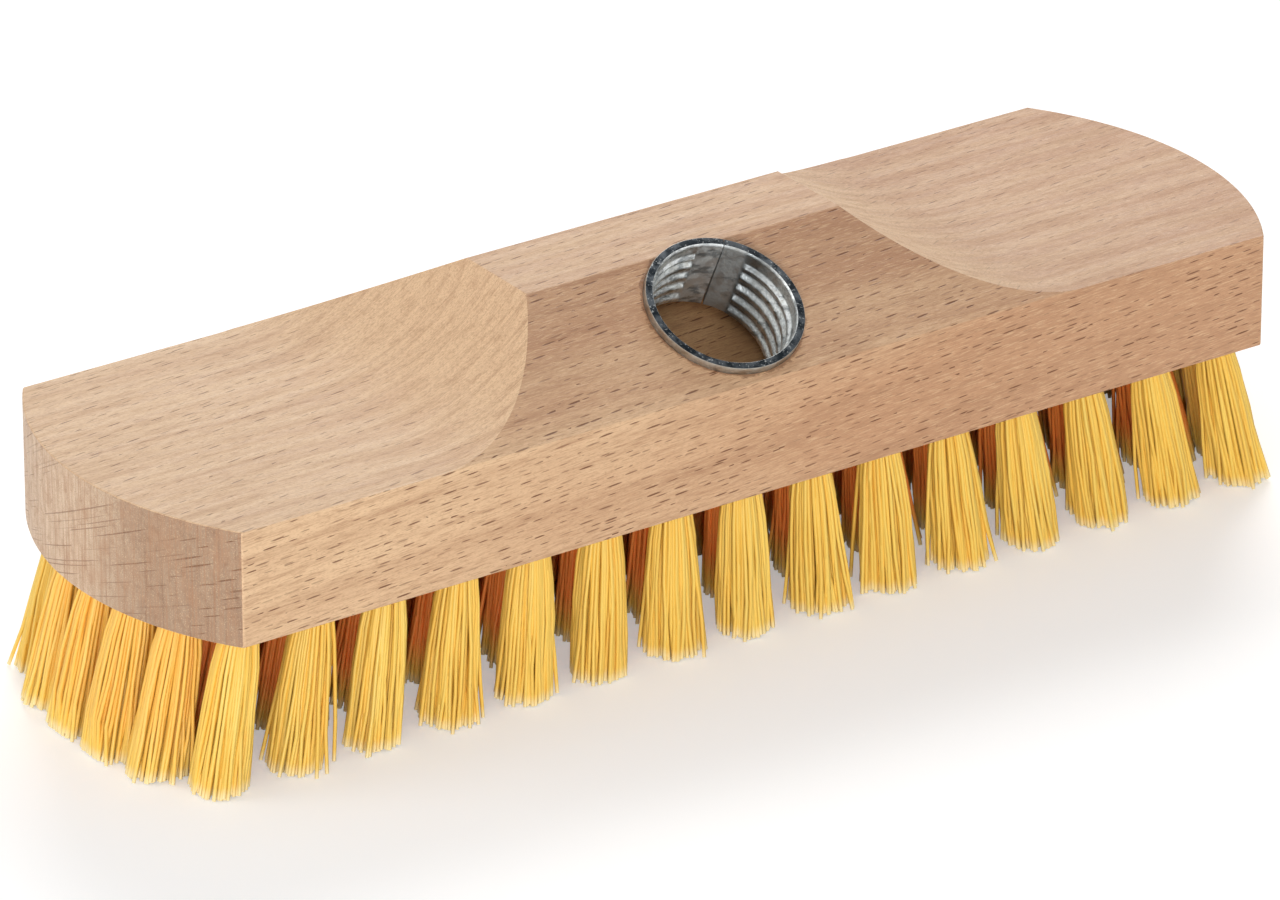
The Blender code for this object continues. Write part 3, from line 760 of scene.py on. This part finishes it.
def build_tufts():
    """Each point becomes a tuft: filaments leave the hole side by side, in a sunflower
    arrangement, spread, wander a little and end unevenly just above the level trim."""
    tree, entry, ending = new_geometry_tree(
        "filament_tufts",
        Int=["Filaments", "Segments", "Sides", "Seed"],
        Float=[
            *("Length", "Root In Hole", "Root Radius", "Tip Radius", "Filament Radius"),
            *("Uneven Trim", "Wander", "Stray Share", "Stray Reach", "Opening Power", "Inside"),
        ],
        Vector=["Lowest Corner", "Highest Corner"],
        Material=["Material"],
    )

    def per_filament(low, high, number):
        seed = math_node(tree, "ADD", entry["Seed"], float(number))
        inputs = {"ID": filament, "Seed": seed, 2: low, 3: high}
        return add_node(tree, "FunctionNodeRandomValue", inputs, data_type="FLOAT").outputs[1]

    stations = math_node(tree, "ADD", entry["Segments"], 1.0)
    mouths = add_node(tree, "GeometryNodeMeshToPoints", {"Mesh": entry["Geometry"]}).outputs[0]
    amount = {"Geometry": mouths, "Amount": times(tree, entry["Filaments"], stations)}
    copies = add_node(tree, "GeometryNodeDuplicateElements", amount, domain="POINT").outputs[0]
    index = add_node(tree, "GeometryNodeInputIndex").outputs[0]
    filament = math_node(tree, "DIVIDE", math_node(tree, "ADD", index, 0.5), stations)
    filament = math_node(tree, "FLOOR", filament)
    step = math_node(tree, "SUBTRACT", index, times(tree, filament, stations))
    along = math_node(tree, "DIVIDE", step, entry["Segments"])
    number = math_node(tree, "FLOORED_MODULO", filament, entry["Filaments"])

    share = math_node(tree, "DIVIDE", math_node(tree, "ADD", number, 0.5), entry["Filaments"])
    around = add_scaled(tree, per_filament(-UNEVEN_TURN, UNEVEN_TURN, 1), number, GOLDEN_TURN)
    sideways = join(tree, math_node(tree, "COSINE", around), math_node(tree, "SINE", around), 0.0)

    trim = times(tree, entry["Uneven Trim"], math_node(tree, "POWER", per_filament(0.0, 1.0, 2), 2.0))
    hanging = math_node(tree, "SUBTRACT", entry["Length"], trim)
    reach = math_node(tree, "ADD", hanging, entry["Root In Hole"])
    down = math_node(tree, "SUBTRACT", times(tree, along, reach), entry["Root In Hole"])
    hung = math_node(tree, "DIVIDE", down, entry["Length"], clamp=True)
    opened = math_node(tree, "POWER", hung, entry["Opening Power"])
    widened = math_node(tree, "SUBTRACT", entry["Tip Radius"], entry["Root Radius"])
    radius = add_scaled(tree, entry["Root Radius"], widened, opened)
    radius = times(tree, radius, math_node(tree, "SQRT", share))
    radius = math_node(tree, "SUBTRACT", radius, entry["Filament Radius"])
    offset = scaled(tree, sideways, radius)

    between = times(tree, filament, WANDER_BETWEEN)
    wander_at = join(tree, between, times(tree, along, WANDER_ALONG), entry["Seed"])
    inputs = {"Vector": wander_at, "Scale": 1.0, "Detail": 0.0}
    noise = add_node(tree, "ShaderNodeTexNoise", inputs).outputs["Color"]
    bend = vector_node(tree, "SUBTRACT", noise, (0.5, 0.5, 0.5))
    loose = times(tree, fade(tree, along, WANDER_STARTS, 1.0, 0.0, 3.0), entry["Wander"])
    offset = vector_node(tree, "ADD", offset, scaled(tree, bend, loose))
    strays = math_node(tree, "LESS_THAN", per_filament(0.0, 1.0, 3), entry["Stray Share"])
    stray = times(tree, strays, entry["Stray Reach"], math_node(tree, "POWER", along, 2.0))
    offset = vector_node(tree, "ADD", offset, scaled(tree, sideways, stray))
    offset = vector_node(tree, "MULTIPLY", offset, (1.0, 1.0, 0.0))
    one_down = vector_node(tree, "ADD", stored(tree, "lean", "FLOAT_VECTOR"), (0.0, 0.0, -1.0))
    offset = vector_node(tree, "ADD", offset, scaled(tree, one_down, down))

    mouth = add_node(tree, "GeometryNodeInputPosition").outputs[0]
    position = vector_node(tree, "ADD", mouth, offset)
    position = vector_node(tree, "MAXIMUM", position, entry["Lowest Corner"])
    position = vector_node(tree, "MINIMUM", position, entry["Highest Corner"])
    moved = {"Geometry": copies, "Position": position}
    placed = add_node(tree, "GeometryNodeSetPosition", moved).outputs[0]
    for name, value in (
        ("along", along),
        ("shade", per_filament(0.0, 1.0, 4)),
        ("inside", entry["Inside"]),
    ):
        placed = add_node(
            tree,
            "GeometryNodeStoreNamedAttribute",
            {"Geometry": placed, "Name": name, "Value": value},
            data_type="FLOAT",
            domain="POINT",
        ).outputs[0]
    strung = {"Points": placed, "Curve Group ID": filament, "Weight": along}
    curves = add_node(tree, "GeometryNodePointsToCurves", strung).outputs[0]
    sizes = {"Resolution": entry["Sides"], "Radius": entry["Filament Radius"]}
    profile = add_node(tree, "GeometryNodeCurvePrimitiveCircle", sizes).outputs[0]
    drawn = {"Curve": curves, "Profile Curve": profile, "Fill Caps": True}
    tubes = add_node(tree, "GeometryNodeCurveToMesh", drawn).outputs[0]
    finish_tree(tree, tubes, entry["Material"], ending)
    return tree


FILAMENT_YELLOW = (0.89, 0.645, 0.145)
FILAMENT_AMBER = (0.89, 0.53, 0.075)
PAINTED_SHADE_ORANGE = (1.0, 0.32, 0.06)
CUT_TIP = (0.95, 0.87, 0.60)
END_ROW_SHADE = 0.16
SHADE_SIZE = (0.004, 0.004, 0.012)


def kept(tree, name):
    """What an attribute of the mesh holds, in a material."""
    return add_node(tree, "ShaderNodeAttribute", attribute_name=name).outputs["Fac"]


def build_filament():
    """Yellow polymer filament: a soft gloss, each filament a shade of its own, pale cut tips.
    Deep inside the brush, away from the tips, it is painted orange: painted shade for light that comes
    through other filaments."""
    made, tree, shader = new_material("yellow_filament")
    shade = kept(tree, "shade")
    along = kept(tree, "along")
    place = add_node(tree, "ShaderNodeTexCoord").outputs["Object"]
    uneven = mottled(tree, place, SHADE_SIZE, 2.0, 1.5)
    share = times(tree, math_node(tree, "ADD", shade, uneven), 0.5)
    colour = mix_colours(tree, share, FILAMENT_YELLOW, FILAMENT_AMBER)
    # Inner rows, and the end rows a little, are painted orange away from the tips: painted shade.
    depth = times(tree, kept(tree, "inside"), fade(tree, along, 0.98, 0.74))
    colour = mix_colours(tree, depth, colour, PAINTED_SHADE_ORANGE)
    colour = mix_colours(tree, fade(tree, along, 0.93, 1.0, 0.0, 0.55), colour, CUT_TIP)
    tree.links.new(colour, shader.inputs["Base Color"])
    tree.links.new(fade(tree, shade, 0.0, 1.0, 0.36, 0.5), shader.inputs["Roughness"])
    shader.inputs["Specular IOR Level"].default_value = 0.4
    return made


filament_tufts = build_tufts()
yellow_filament = build_filament()
lowest = [edge + INSIDE_BOX for edge in cad_box[0][:2]] + [INSIDE_BOX / 2]
highest = [edge - INSIDE_BOX for edge in cad_box[1]]
for number, (name, places) in enumerate(rows.items()):
    inner = name.startswith("inner")
    at_end = "_end_" in name
    bristles = mouths_of(name, places)
    grow(
        bristles,
        filament_tufts,
        {
            "Filaments": FILAMENTS_PER_INNER_TUFT if inner else FILAMENTS_PER_TUFT,
            "Segments": FILAMENT_SEGMENTS,
            "Sides": FILAMENT_SIDES,
            "Length": BRISTLE_LENGTH,
            "Root In Hole": ROOT_IN_HOLE,
            "Root Radius": TUFT_RADIUS,
            "Tip Radius": INNER_TIP_RADIUS if inner else END_TIP_RADIUS if at_end else TIP_RADIUS,
            "Filament Radius": FILAMENT_DIAMETER / 2,
            "Uneven Trim": UNEVEN_TRIM,
            "Wander": WANDER,
            "Stray Share": STRAY_SHARE,
            "Stray Reach": STRAY_REACH,
            "Opening Power": OPENING_POWER,
            # How strongly each row takes the painted orange shade.
            "Inside": 1.0 if inner else END_ROW_SHADE if at_end else 0.0,
            "Lowest Corner": lowest,
            "Highest Corner": highest,
            "Seed": FIRST_SEED + SEED_STEP * number,
            "Material": yellow_filament,
        },
    )
    bristles.data.shade_smooth()
    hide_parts(*replaced_nodes[name])
    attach(bristles, "root")


# Handle sleeve
# A zinc-plated steel strip, rolled to a tube with a butt seam and a coarse rolled thread,
# pressed into the bore. Its rim stands a little proud and takes a screw-in broom handle.

SLEEVE_WALL = 0.0015
SLEEVE_PROUD = 0.0015
SLEEVE_FOOT_SPACE = 0.0015
LEAD_IN_WIDTH = 0.00025
LEAD_IN_DEPTH = 0.0004
RIM_EDGE = 0.0000625
SEAM_ANGLE = math.radians(60.0)
SEAM_ANGLE_AT_FOOT = math.radians(56.6)
SEAM_AT_RIM = 0.00012
SEAM_AT_FOOT = 0.00042
THREAD_PITCH = 0.00285
THREAD_HEIGHT = 0.00065
THREAD_BELOW_RIM = 0.0024
THREAD_RUN_OUT = 0.0008
PLAIN_LEFT = math.radians(20.0)
PLAIN_RIGHT = math.radians(19.0)
RIB_START = 0.035
SLEEVE_STEPS = 288
WALL_STEPS = 110
SLEEVE_SHARP_ANGLE = math.radians(35)

SLEEVE_FOOT = BORE_DEPTH - SLEEVE_FOOT_SPACE
SLEEVE_RADIUS = SLEEVE_DIAMETER / 2
INNER_RADIUS = SLEEVE_RADIUS - SLEEVE_WALL


def rolled_strip():
    """The tube's wall as a closed mesh, split at the butt seam, with the place round the
    tube, counted from the seam, and the height over the slope kept on each point."""
    inside_top = SLEEVE_PROUD - LEAD_IN_DEPTH
    wall = [
        (INNER_RADIUS, -SLEEVE_FOOT + (SLEEVE_FOOT + inside_top) * step / WALL_STEPS)
        for step in range(WALL_STEPS + 1)
    ]
    wall += [
        (INNER_RADIUS + LEAD_IN_WIDTH * 0.6, SLEEVE_PROUD - LEAD_IN_DEPTH * 0.25),
        (INNER_RADIUS + LEAD_IN_WIDTH, SLEEVE_PROUD),
        (SLEEVE_RADIUS - RIM_EDGE, SLEEVE_PROUD),
        (SLEEVE_RADIUS - RIM_EDGE * 0.3, SLEEVE_PROUD - RIM_EDGE * 0.3),
        (SLEEVE_RADIUS, SLEEVE_PROUD - RIM_EDGE),
        (SLEEVE_RADIUS, SLEEVE_PROUD / 2),
        (SLEEVE_RADIUS, 0.0),
        (SLEEVE_RADIUS, LEAD_IN_DEPTH - SLEEVE_FOOT),
        (SLEEVE_RADIUS - LEAD_IN_WIDTH, -SLEEVE_FOOT),
    ]
    shape = bmesh.new()
    round_layer = shape.verts.layers.float.new("round_tube")
    height_layer = shape.verts.layers.float.new("height")
    stations = []
    for step in range(SLEEVE_STEPS + 1):
        ring = []
        for radius, height in wall:
            down = (SLEEVE_PROUD - height) / (SLEEVE_PROUD + SLEEVE_FOOT)
            seam = SEAM_ANGLE + (SEAM_ANGLE_AT_FOOT - SEAM_ANGLE) * down
            half_gap = (SEAM_AT_RIM + (SEAM_AT_FOOT - SEAM_AT_RIM) * down) / 2 / INNER_RADIUS
            turned = half_gap + (2 * math.pi - 2 * half_gap) * step / SLEEVE_STEPS
            angle = seam + turned
            corner = shape.verts.new((radius * math.cos(angle), radius * math.sin(angle), height))
            corner[round_layer] = turned
            corner[height_layer] = height
            ring.append(corner)
        stations.append(ring)
    for ring, following in zip(stations, stations[1:]):
        for n in range(len(wall)):
            after = (n + 1) % len(wall)
            shape.faces.new((ring[n], ring[after], following[after], following[n]))
    for ring in (stations[0], stations[-1]):
        for n in range(1, len(wall) - 1):
            shape.faces.new((ring[0], ring[n], ring[n + 1]))
    bmesh.ops.recalc_face_normals(shape, faces=shape.faces)
    mesh = bpy.data.meshes.new("handle_sleeve_steel")
    shape.to_mesh(mesh)
    shape.free()
    return new_object("rolled_handle_sleeve", mesh)


def build_rolled_thread():
    """Pushes rounded helical ribs out of the tube's inner wall, except by the seam and near
    the rim."""
    tree, entry, ending = new_geometry_tree(
        "rolled_thread",
        Float=["Inner Radius", "Pitch", "Height", "Start Height", "Plain Left", "Plain Right"],
        Material=["Material"],
    )
    position = add_node(tree, "GeometryNodeInputPosition").outputs[0]
    flat = vector_node(tree, "MULTIPLY", position, (1.0, 1.0, 0.0))
    inner_limit = math_node(tree, "ADD", entry["Inner Radius"], LEAD_IN_WIDTH / 5)
    inner = math_node(tree, "LESS_THAN", vector_node(tree, "LENGTH", flat), inner_limit)
    turned = stored(tree, "round_tube", "FLOAT")
    height = stored(tree, "height", "FLOAT")
    turns = math_node(tree, "DIVIDE", turned, 2 * math.pi)
    climbed = math_node(tree, "DIVIDE", height, entry["Pitch"])
    phase = math_node(tree, "FRACT", math_node(tree, "SUBTRACT", climbed, turns))
    from_crest = math_node(tree, "ABSOLUTE", math_node(tree, "SUBTRACT", phase, 0.5))
    rib = fade(tree, from_crest, 0.50, 0.06)
    left_end = math_node(tree, "ADD", entry["Plain Left"], RIB_START)
    clear_left = fade(tree, turned, entry["Plain Left"], left_end)
    to_seam = math_node(tree, "SUBTRACT", 2 * math.pi, turned)
    right_end = math_node(tree, "ADD", entry["Plain Right"], RIB_START)
    clear_right = fade(tree, to_seam, entry["Plain Right"], right_end)
    full_below = math_node(tree, "SUBTRACT", entry["Start Height"], THREAD_RUN_OUT)
    below_rim = fade(tree, height, entry["Start Height"], full_below)
    push = times(tree, rib, clear_left, clear_right, below_rim, inner, entry["Height"])
    inwards = scaled(tree, vector_node(tree, "NORMALIZE", flat), times(tree, push, -1.0))
    moved = {"Geometry": entry["Geometry"], "Offset": inwards}
    pushed = add_node(tree, "GeometryNodeSetPosition", moved).outputs[0]
    finish_tree(tree, pushed, entry["Material"], ending)
    return tree


ZINC = (0.80, 0.82, 0.81)
ZINC_DULL = (0.34, 0.37, 0.39)
RIM_GREY = (0.075, 0.085, 0.095)
RIM_DARK = (0.012, 0.016, 0.020)
TARNISH_AND_WOOD_REFLECTION = (0.40, 0.37, 0.31)
OXIDE_AND_DARK_REFLECTION = (0.075, 0.088, 0.095)
TARNISH_SIZE = (0.0022, 0.0022, 0.0022)
SPECK_SIZE = (0.0005, 0.0005, 0.0005)
STAIN_SIZE = (0.0030, 0.0030, 0.0013)
STEEL_RELIEF = 0.00008


def build_zinc_steel():
    """Zinc-plated steel: stained inside, dull with tarnish blotches, and blotched blue-black on the cut
    rim. Painted reflections: the inner wall darker past the seam, and the outer wall tinted brown like
    the wood around it."""
    made, tree, shader = new_material("zinc_plated_steel")
    place = add_node(tree, "ShaderNodeTexCoord").outputs["Object"]
    normal = add_node(tree, "ShaderNodeNewGeometry").outputs["Normal"]
    turned = kept(tree, "round_tube")
    blotches = mottled(tree, place, TARNISH_SIZE, 4.0, 2.6)
    specks = mottled(tree, place, SPECK_SIZE, 3.0, 2.4)
    stains = mottled(tree, place, STAIN_SIZE, 5.0, 2.4)

    to_seam = math_node(tree, "PINGPONG", turned, math.pi)
    by_seam = fade(tree, to_seam, PLAIN_LEFT + 0.03, PLAIN_LEFT - 0.02)
    dull_share = fade(tree, specks, 0.30, 0.9, 0.0, 0.55)
    dull_share = math_node(tree, "MAXIMUM", dull_share, times(tree, by_seam, 0.45))
    colour = mix_colours(tree, dull_share, ZINC, ZINC_DULL)
    colour = mix_colours(tree, fade(tree, blotches, 0.45, 0.95, 0.0, 0.45), colour, TARNISH_AND_WOOD_REFLECTION)
    past_seam = math_node(tree, "SUBTRACT", 2 * math.pi, turned)
    # Past the seam the inner wall is painted darker: a painted dark reflection.
    painted_dark_reflection = fade(tree, past_seam, PLAIN_RIGHT + 0.75, PLAIN_RIGHT + 0.10, 0.0, 0.80)
    past_plain = fade(tree, past_seam, PLAIN_RIGHT - 0.05, PLAIN_RIGHT + 0.03, 0.45, 1.0)
    oxide_and_reflection_share = math_node(
        tree, "MAXIMUM", fade(tree, stains, 0.50, 0.85, 0.0, 0.65), times(tree, painted_dark_reflection, past_plain)
    )
    colour = mix_colours(tree, oxide_and_reflection_share, colour, OXIDE_AND_DARK_REFLECTION)
    off_axis = off_bore_axis(tree, place)
    # The outer wall is tinted brown: a painted reflection of the wood around it.
    outer_wall_reflection = fade(tree, off_axis, SLEEVE_RADIUS - 0.0004, SLEEVE_RADIUS - 0.0001, 0.0, 0.75)
    colour = mix_colours(tree, outer_wall_reflection, colour, TARNISH_AND_WOOD_REFLECTION)

    facing_out = vector_node(tree, "DOT_PRODUCT", normal, OUT_OF_SLOPE)
    at_top = fade(tree, kept(tree, "height"), SLEEVE_PROUD - 0.00015, SLEEVE_PROUD - 0.00002)
    rim = times(tree, fade(tree, facing_out, 0.93, 0.98), at_top)
    rim_colour = mix_colours(tree, fade(tree, blotches, 0.25, 0.85), RIM_DARK, RIM_GREY)
    rim_colour = mix_colours(tree, fade(tree, specks, 0.72, 0.95, 0.0, 0.35), rim_colour, ZINC)
    colour = mix_colours(tree, rim, colour, rim_colour)
    tree.links.new(colour, shader.inputs["Base Color"])
    shader.inputs["Metallic"].default_value = 1.0
    rough = fade(tree, blotches, 0.2, 0.8, 0.34, 0.52)
    tree.links.new(add_scaled(tree, rough, by_seam, 0.16), shader.inputs["Roughness"])
    add_relief(tree, shader, math_node(tree, "ADD", specks, blotches), 0.35, STEEL_RELIEF)
    return made


sleeve = rolled_strip()
grow(
    sleeve,
    build_rolled_thread(),
    {
        "Inner Radius": INNER_RADIUS,
        "Pitch": THREAD_PITCH,
        "Height": THREAD_HEIGHT,
        "Start Height": SLEEVE_PROUD - THREAD_BELOW_RIM,
        "Plain Left": PLAIN_LEFT,
        "Plain Right": PLAIN_RIGHT,
        "Material": build_zinc_steel(),
    },
)
sleeve.data.transform(SLEEVE_PLACE)
sleeve.data.shade_smooth()
sleeve.data.set_sharp_from_angle(angle=SLEEVE_SHARP_ANGLE)
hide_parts("handle_sleeve")
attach(sleeve, "root")


# Studio
# A white floor under an even white sky, with a broad soft lamp behind on the right, a low one
# in front on the left and a weak one at the left. A long lens looks at the front left corner.

CAMERA_TURN = math.radians(34.604)
CAMERA_RISE = math.radians(25.169)
FIT_LENGTH = 0.2089
CAMERA_DISTANCE = 8.1285
CAMERA_RIGHT = -0.0111
CAMERA_UP = -0.1139
SENSOR_WIDTH = 36.0
IMAGE_WIDTH = 1280
FOCAL_PIXELS = 10014


def add_camera():
    sin_turn, cos_turn = math.sin(CAMERA_TURN), math.cos(CAMERA_TURN)
    sin_rise, cos_rise = math.sin(CAMERA_RISE), math.cos(CAMERA_RISE)
    back = Vector((-sin_turn * cos_rise, -cos_turn * cos_rise, sin_rise))
    right = Vector((cos_turn, -sin_turn, 0.0))
    up = back.cross(right)
    centre = (right * CAMERA_RIGHT + up * CAMERA_UP + back * CAMERA_DISTANCE) * FIT_LENGTH
    lens = bpy.data.cameras.new("camera")
    lens.sensor_width = SENSOR_WIDTH
    lens.lens = FOCAL_PIXELS * SENSOR_WIDTH / IMAGE_WIDTH
    lens.clip_start = 0.01
    lens.clip_end = 50.0
    made = new_object("camera", lens)
    turned = Matrix((right, up, back)).transposed().to_4x4()
    made.matrix_world = Matrix.Translation(centre + Vector((0, 0, END_TOP))) @ turned
    bpy.context.scene.camera = made


LAMPS_AIM_AT = Vector((0.0, 0.0, 0.04))


def add_softbox(name, place, size, watts):
    lamp = bpy.data.lights.new(name, "AREA")
    lamp.shape = "RECTANGLE"
    lamp.size, lamp.size_y = size
    lamp.energy = watts
    made = new_object(name, lamp)
    made.location = place
    made.rotation_euler = (LAMPS_AIM_AT - Vector(place)).to_track_quat("-Z", "Y").to_euler()


FLOOR_WHITE = (0.88, 0.88, 0.88, 1.0)
FLOOR_HALF_WIDTH = 4.0
FLOOR_LIFT = 0.36
SKY_STRENGTH = 0.45


def seen_by_camera(tree):
    """1 where the camera sees this, directly, in a reflection or through something clear."""
    light_path = add_node(tree, "ShaderNodeLightPath").outputs
    seen = math_node(tree, "MAXIMUM", light_path["Is Camera Ray"], light_path["Is Glossy Ray"])
    return math_node(tree, "MAXIMUM", seen, light_path["Is Transmission Ray"])


def add_floor():
    """A white floor. To the camera it shows a little brighter than it is, for a clean white."""
    shape = bmesh.new()
    bmesh.ops.create_grid(shape, x_segments=4, y_segments=4, size=FLOOR_HALF_WIDTH)
    mesh = bpy.data.meshes.new("floor")
    shape.to_mesh(mesh)
    shape.free()
    floor = new_object("floor", mesh)
    made, tree, shader = new_material("white_floor")
    shader.inputs["Base Color"].default_value = FLOOR_WHITE
    shader.inputs["Roughness"].default_value = 0.9
    shader.inputs["Specular IOR Level"].default_value = 0.0
    shader.inputs["Emission Color"].default_value = (1.0, 1.0, 1.0, 1.0)
    lift = times(tree, seen_by_camera(tree), FLOOR_LIFT)
    tree.links.new(lift, shader.inputs["Emission Strength"])
    mesh.materials.append(made)


def set_sky():
    """An even white sky that lights softly, and that the camera sees as pure white."""
    world = bpy.data.worlds.new("studio")
    world.use_nodes = True
    tree = world.node_tree
    backdrop = tree.nodes["Background"]
    backdrop.inputs["Color"].default_value = (1.0, 1.0, 1.0, 1.0)
    strength = fade(tree, seen_by_camera(tree), 0.0, 1.0, SKY_STRENGTH, 1.0)
    tree.links.new(strength, backdrop.inputs["Strength"])
    bpy.context.scene.world = world


add_camera()
add_softbox("key_softbox", (1.35, 1.8, 1.75), (1.3, 1.3), 43.0)
add_softbox("front_fill", (-1.25, -2.0, 0.25), (1.2, 0.6), 36.0)
add_softbox("left_softbox", (-1.7, 0.8, 0.5), (1.0, 1.0), 11.0)
add_floor()
set_sky()
bpy.context.scene.view_settings.view_transform = "Standard"
